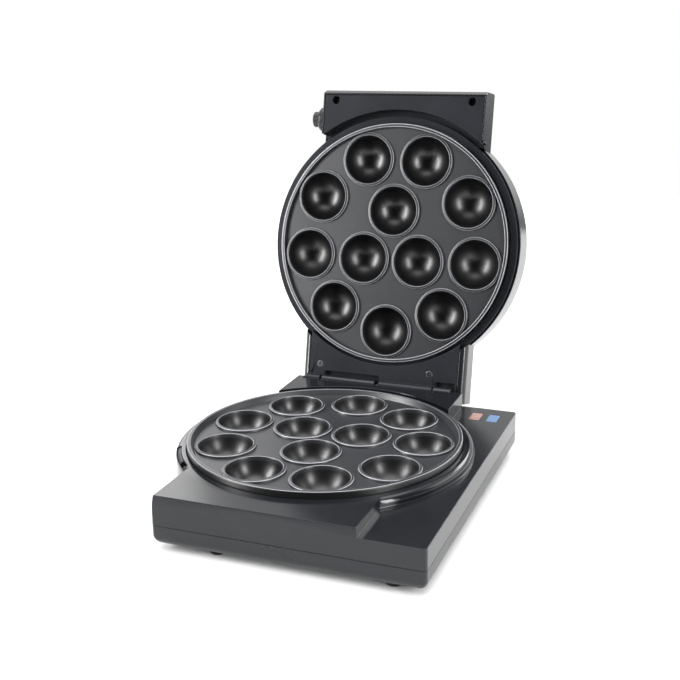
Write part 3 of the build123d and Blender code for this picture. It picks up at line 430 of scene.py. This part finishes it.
def softened(node, radius, segments):
    # a copy of a CAD solid whose hard edges are rounded over

    def roundEdges(holder):
        bevel = holder.modifiers.new("roundEdges", "BEVEL")
        bevel.width = radius
        bevel.segments = segments
        bevel.limit_method = "ANGLE"
        bevel.angle_limit = math.radians(edgeAngles["rounded"])
        bevel.use_clamp_overlap = False
        bevel.miter_outer = "MITER_ARC"

    def evenShading(holder):
        # flats stay flat next to the rounded edges
        normals = holder.modifiers.new("evenShading", "WEIGHTED_NORMAL")
        normals.mode = "FACE_AREA"
        normals.weight = 100
        normals.keep_sharp = True

    rounded = bakeModifiers(mergedCopy(node), node + "Soft", roundEdges)
    finishMesh(rounded, edgeAngles["sharp"])
    return bakeModifiers(rounded, node + "Even", evenShading)


shellPieces = {
    "base_housing": {
        "piece": "housingShell", "body": "base", "material": bodyPlastic, "slot": "black_body",
        "radius": 0.5 * mm, "segments": 3,
    },
    "bottom_tray": {
        "piece": "trayShell", "body": "base", "material": trayPlastic, "slot": "black_tray",
        "radius": 0.4 * mm, "segments": 2,
    },
    "lid_cover": {
        "piece": "coverShell", "body": "lid", "material": coverPlastic, "slot": "black_cover",
        "radius": 0.5 * mm, "segments": 3,
    },
    "lid_inner_frame": {
        "piece": "frameShell", "body": "lid", "material": framePlastic, "slot": "black_frame",
        "radius": 0.4 * mm, "segments": 3,
    },
    "plate_release_lever": {
        "piece": "leverThumb", "body": "base_release", "material": controlPlastic, "slot": "black_controls",
        "radius": 0.3 * mm, "segments": 2,
    },
    "lid_release_button": {
        "piece": "buttonCap", "body": "lid_release", "material": controlPlastic, "slot": "black_controls",
        "radius": 0.3 * mm, "segments": 2,
    },
    "button_bezel": {
        "piece": "buttonCollar", "body": "lid", "material": controlPlastic, "slot": "black_controls",
        "radius": 0.3 * mm, "segments": 2,
    },
}

for node, plan in shellPieces.items():
    shell = softened(node, plan["radius"], plan["segments"])
    addPiece(plan["piece"], shell, plan["material"], plan["body"], node)
    print(plan["piece"], len(shell.polygons), "faces")


# the plates are in millimetres, upwards from the rims of their moulds;
# each list of rings (from radius, to radius, how much) gives where a pale ring of painted highlight runs
# along a bead crest
plateShape = {
    "mouldRadius": 20.5, "ringRadius": 23.25, "outerCircle": 75.41, "innerCircle": 28.11,
    "outerCount": 9, "innerCount": 3, "webDrop": 2.4, "wall": 1.8, "footEdge": 98.91,
    "mouldSteps": 96, "rimSteps": 288, "bowlSteps": 24, "arcSteps": 6,
    "ringLean": 0.15, "lipRun": 0.25, "throatLean": 0.02, "throatDepth": 1.4,
    "mouldRounds": [1.2, 1.0], "rimRounds": [0.6, 0.8],
    "shadeBelow": -3.0, "wallMargin": 0.1, "weld": 0.03, "sharpAngle": 50,
    "highlightRings": [(20.85, 21.1, 0.8), (22.7, 22.97, 1.0)],
}
lowerRim = {
    "lip": 1.8, "radius": 104.3, "width": 2.6, "skirt": -6.2,
    "highlightRings": [(101.5, 101.8, 0.5), (103.8, 104.15, 0.9)],
}
upperRim = {
    "lip": 1.0, "radius": 102.0, "width": 2.6, "skirt": -8.0,
    "highlightRings": [(99.2, 99.65, 0.8), (101.45, 101.9, 0.8)],
}
onAxis = 1e-6


def roundedPath(points, radii, steps):
    # a polyline whose inner corners are turned into short arcs
    path = [Vector(points[0])]
    for before, corner, after, radius in zip(points, points[1:], points[2:], radii):
        corner = Vector(corner)
        back = (Vector(before) - corner).normalized()
        ahead = (Vector(after) - corner).normalized()
        half = back.angle(ahead) / 2
        reach = radius / math.tan(half)
        centre = corner + (back + ahead).normalized() * radius / math.sin(half)
        start = corner + back * reach - centre
        end = corner + ahead * reach - centre
        for step in range(steps + 1):
            path.append(centre + start.slerp(end, step / steps))
    path.append(Vector(points[-1]))
    return path


def lathe(name, profile, steps, highlightRings, deep=-math.inf, beyond=math.inf):
    # turns a (radius, height) line about the upright axis; below deep, and out past beyond, it is marked for
    # the glossier finish of the moulds and their painted shade
    shape = bmesh.new()
    shadeAndGloss = shape.verts.layers.float.new("shadeAndGloss")
    paintedHighlight = shape.verts.layers.float.new("paintedHighlight")
    turn = [2 * math.pi * step / steps for step in range(steps)]
    rings = []
    for radius, height in profile:
        angles = turn if radius > onAxis else [0.0]
        rings.append([
            shape.verts.new((radius * mm * math.cos(angle), radius * mm * math.sin(angle), height * mm))
            for angle in angles
        ])
    for inner, outer in zip(rings, rings[1:]):
        for step in range(steps):
            ahead = (step + 1) % steps
            if len(outer) == 1:
                shape.faces.new((inner[step], inner[ahead], outer[0]))
            else:
                shape.faces.new((inner[step], inner[ahead], outer[ahead], outer[step]))
    for vert in shape.verts:
        radius = math.hypot(vert.co.x, vert.co.y)
        vert[shadeAndGloss] = 1.0 if vert.co.z < deep * mm or radius > beyond * mm else 0.0
        # pale rings of painted highlight at the listed radii
        vert[paintedHighlight] = max((value for low, high, value in highlightRings if low * mm <= radius <= high * mm), default=0.0)
    mesh = bpy.data.meshes.new(name)
    shape.to_mesh(mesh)
    shape.free()
    return mesh


def mouldProfile():
    # from the web over the bead round the mould, and down the bowl to its axis
    shape = plateShape
    inner, ring, throat = shape["mouldRadius"], shape["ringRadius"], shape["throatDepth"]
    line = roundedPath(
        [(ring, -shape["webDrop"], 0), (ring - shape["ringLean"], 0, 0), (inner + shape["lipRun"], 0, 0),
         (inner - shape["throatLean"], -throat, 0)],
        shape["mouldRounds"], shape["arcSteps"],
    )
    profile = [(point.x, point.y) for point in line]
    start = math.asin(throat / inner)
    steps = shape["bowlSteps"]
    for step in range(1, steps + 1):
        angle = start + (math.pi / 2 - start) * step / steps
        profile.append((inner * math.cos(angle) if step < steps else 0.0, -inner * math.sin(angle)))
    return profile


def rimProfile(rim):
    # from the web up to the lip, over it and down the outer wall
    line = roundedPath(
        [(plateShape["footEdge"], -plateShape["webDrop"], 0), (rim["radius"] - rim["width"], rim["lip"], 0),
         (rim["radius"], rim["lip"], 0), (rim["radius"], rim["skirt"], 0)],
        plateShape["rimRounds"], plateShape["arcSteps"],
    )
    return [(point.x, point.y) for point in line]


patternInputs = {
    "Rim": "Object", "Mould": "Object", "Outer Count": "Int", "Inner Count": "Int",
    "Outer Circle": "Float", "Inner Circle": "Float", "Ring Radius": "Float", "Foot Edge": "Float",
    "Web Height": "Float", "Mould Steps": "Int", "Rim Steps": "Int", "Material": "Material",
}


def buildMouldPattern():
    # two circles of moulds on a flat web with a hole under each mould
    tree = bpy.data.node_groups.new("mouldPattern", "GeometryNodeTree")
    ids = {
        label: tree.interface.new_socket(
            name=label, in_out="INPUT", socket_type="NodeSocket" + kind
        ).identifier
        for label, kind in patternInputs.items()
    }
    tree.interface.new_socket(name="Geometry", in_out="OUTPUT", socket_type="NodeSocketGeometry")
    source = addNode(tree, "NodeGroupInput", (-1200, 0))
    sink = addNode(tree, "NodeGroupOutput", (1100, 0))
    link = tree.links.new

    centres = addNode(tree, "GeometryNodeJoinGeometry", (-500, 200))
    for which, start, height in (("Outer", math.pi / 2, 300), ("Inner", math.pi * 1.5, 0)):
        circle = addNode(tree, "GeometryNodeMeshCircle", (-900, height))
        link(source.outputs[which + " Count"], circle.inputs["Vertices"])
        link(source.outputs[which + " Circle"], circle.inputs["Radius"])
        turn = addNode(tree, "GeometryNodeTransform", (-700, height))
        turn.inputs["Rotation"].default_value = (0, 0, start)
        link(circle.outputs["Mesh"], turn.inputs["Geometry"])
        link(turn.outputs["Geometry"], centres.inputs["Geometry"])

    mould = addNode(tree, "GeometryNodeObjectInfo", (-700, 500))
    link(source.outputs["Mould"], mould.inputs["Object"])
    moulds = addNode(tree, "GeometryNodeInstanceOnPoints", (-250, 400))
    link(centres.outputs["Geometry"], moulds.inputs["Points"])
    link(mould.outputs["Geometry"], moulds.inputs["Instance"])

    hole = addNode(tree, "GeometryNodeCurvePrimitiveCircle", (-500, -100))
    link(source.outputs["Mould Steps"], hole.inputs["Resolution"])
    link(source.outputs["Ring Radius"], hole.inputs["Radius"])
    holes = addNode(tree, "GeometryNodeInstanceOnPoints", (-250, 100))
    link(centres.outputs["Geometry"], holes.inputs["Points"])
    link(hole.outputs["Curve"], holes.inputs["Instance"])
    holesReal = addNode(tree, "GeometryNodeRealizeInstances", (-50, 100))
    link(holes.outputs["Instances"], holesReal.inputs["Geometry"])
    border = addNode(tree, "GeometryNodeCurvePrimitiveCircle", (-250, -250))
    link(source.outputs["Rim Steps"], border.inputs["Resolution"])
    link(source.outputs["Foot Edge"], border.inputs["Radius"])
    loops = addNode(tree, "GeometryNodeJoinGeometry", (150, -50))
    link(border.outputs["Curve"], loops.inputs["Geometry"])
    link(holesReal.outputs["Geometry"], loops.inputs["Geometry"])
    web = addNode(tree, "GeometryNodeFillCurve", (330, -50))
    link(loops.outputs["Geometry"], web.inputs["Curve"])
    height = addNode(tree, "ShaderNodeCombineXYZ", (330, -250))
    link(source.outputs["Web Height"], height.inputs["Z"])
    drop = addNode(tree, "GeometryNodeTransform", (520, -50))
    link(web.outputs["Mesh"], drop.inputs["Geometry"])
    link(height.outputs["Vector"], drop.inputs["Translation"])

    rim = addNode(tree, "GeometryNodeObjectInfo", (330, 350))
    link(source.outputs["Rim"], rim.inputs["Object"])
    joined = addNode(tree, "GeometryNodeJoinGeometry", (700, 100))
    link(moulds.outputs["Instances"], joined.inputs["Geometry"])
    link(drop.outputs["Geometry"], joined.inputs["Geometry"])
    link(rim.outputs["Geometry"], joined.inputs["Geometry"])
    real = addNode(tree, "GeometryNodeRealizeInstances", (820, 100))
    link(joined.outputs["Geometry"], real.inputs["Geometry"])
    paint = addNode(tree, "GeometryNodeSetMaterial", (960, 100))
    link(real.outputs["Geometry"], paint.inputs["Geometry"])
    link(source.outputs["Material"], paint.inputs["Material"])
    link(paint.outputs["Geometry"], sink.inputs["Geometry"])
    return tree, ids


mouldPattern, patternIds = buildMouldPattern()


def passingObject(name, mesh):
    helper = bpy.data.objects.new(name, mesh)
    bpy.context.scene.collection.objects.link(helper)
    return helper


def outwardFaces(mesh):
    # one skin, with the faces on its top side turned up
    shape = bmesh.new()
    shape.from_mesh(mesh)
    bmesh.ops.remove_doubles(shape, verts=shape.verts, dist=plateShape["weld"] * mm)
    bmesh.ops.recalc_face_normals(shape, faces=shape.faces)
    top = max(shape.faces, key=lambda face: face.calc_center_median().z)
    if top.normal.z < 0:
        bmesh.ops.reverse_faces(shape, faces=shape.faces)
    shape.to_mesh(mesh)
    shape.free()


def bakingPlate(name, rim, place, upsideDown):
    plan = plateShape
    mould = passingObject(name + "Mould", lathe(
        name + "Mould", mouldProfile(), plan["mouldSteps"], plan["highlightRings"], deep=plan["shadeBelow"]
    ))
    # the outer wall of the rim takes the same painted shade as the moulds, standing in for the dark
    # reflection of the base
    edge = passingObject(name + "Rim", lathe(
        name + "Rim", rimProfile(rim), plan["rimSteps"], rim["highlightRings"],
        beyond=rim["radius"] - plan["wallMargin"],
    ))

    def runPattern(holder):
        pattern = holder.modifiers.new("pattern", "NODES")
        pattern.node_group = mouldPattern
        values = {
            "Rim": edge, "Mould": mould,
            "Outer Count": plan["outerCount"], "Inner Count": plan["innerCount"],
            "Outer Circle": plan["outerCircle"] * mm, "Inner Circle": plan["innerCircle"] * mm,
            "Ring Radius": plan["ringRadius"] * mm, "Foot Edge": plan["footEdge"] * mm,
            "Web Height": -plan["webDrop"] * mm, "Mould Steps": plan["mouldSteps"],
            "Rim Steps": plan["rimSteps"], "Material": plateCoating,
        }
        for label, value in values.items():
            pattern[patternIds[label]] = value

    def thicken(holder):
        wall = holder.modifiers.new("wall", "SOLIDIFY")
        wall.thickness = plan["wall"] * mm
        wall.offset = -1
        wall.use_even_offset = False

    sheet = bakeModifiers(bpy.data.meshes.new(name + "Blank"), name + "Sheet", runPattern)
    for helper in (mould, edge):
        bpy.data.objects.remove(helper)
    outwardFaces(sheet)
    cast = bakeModifiers(sheet, name + "Cast", thicken)
    if upsideDown:
        cast.transform(Matrix.Diagonal((1, 1, -1, 1)))
        cast.flip_normals()
    cast.transform(place)
    finishMesh(cast, plan["sharpAngle"])
    return cast


upperCentre = plateCentre + Vector((0, 0, plateGap))
platePieces = {
    "lowerPlate": {
        "rim": lowerRim, "place": Matrix.Translation(plateCentre), "upsideDown": False,
        "body": "base", "node": "lower_baking_plate",
    },
    "upperPlate": {
        "rim": upperRim, "place": openLid @ Matrix.Translation(upperCentre), "upsideDown": True,
        "body": "lid", "node": "upper_baking_plate",
    },
}
for name, plan in platePieces.items():
    plate = bakingPlate(name, plan["rim"], plan["place"], plan["upsideDown"])
    addPiece(name, plate, plateCoating, plan["body"], plan["node"])
    print(name, len(plate.polygons), "faces")


# finishes on the pieces that keep their CAD shape
nodeFinishes = {
    "rubber_feet": footRubber, "cable_bush": footRubber, "tray_screws": plainSteel, "hinge_pin": blackSteel,
    "lower_reflector_pan": panSteel, "upper_reflector_pan": panSteel, "lower_element_clips": panSteel,
    "upper_element_clips": panSteel, "lower_heating_element": elementSheath,
    "upper_heating_element": elementSheath, "red_lamp_lens": redWindow, "blue_lamp_lens": blueWindow,
    "indicator_board": boardGreen, "indicator_lamps": lampGlass, "thermostat": phenolic,
    "thermal_fuse": phenolic, "lid_thermal_cutout": phenolic, "terminal_block": nylonBlock,
    "handle_screws": blackSteel, "hinge_block_screws": darkZinc, "button_spring": springWire,
    "lever_spring": springWire,
}
for node, material in nodeFinishes.items():
    for slot in nodes[node].material_slots:
        slot.material = material
print("finishes assigned")


cameraPlan = {
    "azimuth": 21.58, "elevation": 16.92, "roll": -1.02, "distance": 0.8088, "lens": 57.8,
    "sensor": 36, "clipStart": 0.01,
    "aim": (11.83 * mm, 4.66 * mm, 76.48 * mm),  # from the middle of the lower plate
}


def towards(azimuth, elevation):
    # degrees; an azimuth of 0 is straight ahead of the object, 90 is at its right
    turn, rise = math.radians(azimuth), math.radians(elevation)
    return Vector((math.sin(turn) * math.cos(rise), -math.cos(turn) * math.cos(rise), math.sin(rise)))


def addCamera(plan):
    back = towards(plan["azimuth"], plan["elevation"])
    turn, roll = math.radians(plan["azimuth"]), math.radians(plan["roll"])
    right = Vector((math.cos(turn), math.sin(turn), 0))
    up = back.cross(right)
    across = right * math.cos(roll) + up * math.sin(roll)
    rise = up * math.cos(roll) - right * math.sin(roll)
    facing = Matrix((across, rise, back)).transposed().to_4x4()
    camera = bpy.data.objects.new("camera", bpy.data.cameras.new("camera"))
    place = plateCentre + Vector(plan["aim"]) + back * plan["distance"]
    camera.matrix_world = Matrix.Translation(place) @ facing
    camera.data.lens = plan["lens"]
    camera.data.sensor_width = plan["sensor"]
    camera.data.clip_start = plan["clipStart"]
    bpy.context.scene.collection.objects.link(camera)
    bpy.context.scene.camera = camera


lightAim = Vector((0, 0.1, 0.15))  # about the middle of the open lid
softboxes = {
    "leftStrip": {"azimuth": -50, "elevation": 14, "distance": 1.5, "size": (0.28, 1.3), "brightness": 24},
    "rightStrip": {"azimuth": 61, "elevation": 14, "distance": 1.5, "size": (0.24, 1.05), "brightness": 19},
    "leftFill": {"azimuth": -36, "elevation": 20, "distance": 1.7, "size": (0.5, 0.8), "brightness": 2.2},
    "rightBank": {"azimuth": 118, "elevation": 22, "distance": 1.5, "size": (1.0, 0.8), "brightness": 2.0},
    "rearBank": {"azimuth": 160, "elevation": 27, "distance": 1.6, "size": (0.9, 0.35), "brightness": 7.0},
    "rearLeftBank": {
        "azimuth": -132, "elevation": 21, "distance": 1.6, "size": (0.6, 0.6), "brightness": 3.0,
    },
}


def addSoftbox(name, azimuth, elevation, distance, size, brightness):
    light = bpy.data.lights.new(name, "AREA")
    light.shape = "RECTANGLE"
    light.size, light.size_y = size
    light.energy = brightness * math.pi * size[0] * size[1]
    box = bpy.data.objects.new(name, light)
    away = towards(azimuth, elevation)
    box.location = lightAim + away * distance
    box.rotation_euler = away.to_track_quat("Z", "Y").to_euler()
    box.visible_camera = False
    bpy.context.scene.collection.objects.link(box)


for name, plan in softboxes.items():
    addSoftbox(name, **plan)
addCamera(cameraPlan)


# brightness by direction; each zone is a span of the direction's Y, or of its Z
studioPlan = {
    "front": 0.05, "rear": 0.95, "rearZone": (0.1, 0.6), "overhead": 3.6, "overheadZone": (0.78, 0.94),
    "below": 0.25, "belowZone": (-0.12, 0.0), "seen": 1.0,
}


def addStudioWorld(plan):
    # white cyclorama behind the object, dim room in front of it; the backdrop itself stays white
    world = bpy.data.worlds.new("studio")
    world.use_nodes = True
    tree = world.node_tree
    backdrop = tree.nodes["Background"]
    coords = addNode(tree, "ShaderNodeTexCoord", (-900, 0))
    split = addNode(tree, "ShaderNodeSeparateXYZ", (-700, 0))
    feed(tree, split.inputs["Vector"], coords.outputs["Generated"])
    depth, height = split.outputs["Y"], split.outputs["Z"]
    fade = remap(tree, (-500, 0), depth, plan["rearZone"], (plan["front"], plan["rear"]), "SMOOTHSTEP")
    overhead = remap(tree, (-500, -250), height, plan["overheadZone"], (0.0, plan["overhead"]), "SMOOTHSTEP")
    below = remap(tree, (-500, -500), height, plan["belowZone"], (plan["below"], 1.0))
    horizon = compute(tree, (-350, 100), "MULTIPLY", fade, below)
    total = compute(tree, (-350, -50), "ADD", horizon, overhead)
    path = addNode(tree, "ShaderNodeLightPath", (-500, 300))
    choose = addNode(tree, "ShaderNodeMix", (-250, 150), data_type="FLOAT")
    feed(tree, choose.inputs["Factor"], path.outputs["Is Camera Ray"])
    feed(tree, choose.inputs["A"], total)
    choose.inputs["B"].default_value = plan["seen"]
    backdrop.inputs["Color"].default_value = (1, 1, 1, 1)
    feed(tree, backdrop.inputs["Strength"], choose.outputs["Result"])
    bpy.context.scene.world = world


addStudioWorld(studioPlan)
bpy.context.scene.view_settings.view_transform = "Standard"

floorPlan = {"left": -2.5, "right": 2.5, "front": -0.42, "rear": 1.4, "tone": 0.93, "roughness": 0.8}


def addFloor(plan):
    corners = [
        (plan["left"], plan["front"], 0), (plan["right"], plan["front"], 0),
        (plan["right"], plan["rear"], 0), (plan["left"], plan["rear"], 0),
    ]
    mesh = bpy.data.meshes.new("floor")
    mesh.from_pydata(corners, [], [(0, 1, 2, 3)])
    floor = bpy.data.objects.new("floor", mesh)
    bpy.context.scene.collection.objects.link(floor)
    paper, _, shader = newMaterial("palePaper")
    shader.inputs["Base Color"].default_value = (plan["tone"], plan["tone"], plan["tone"], 1)
    shader.inputs["Roughness"].default_value = plan["roughness"]
    mesh.materials.append(paper)


addFloor(floorPlan)
print("stage set")
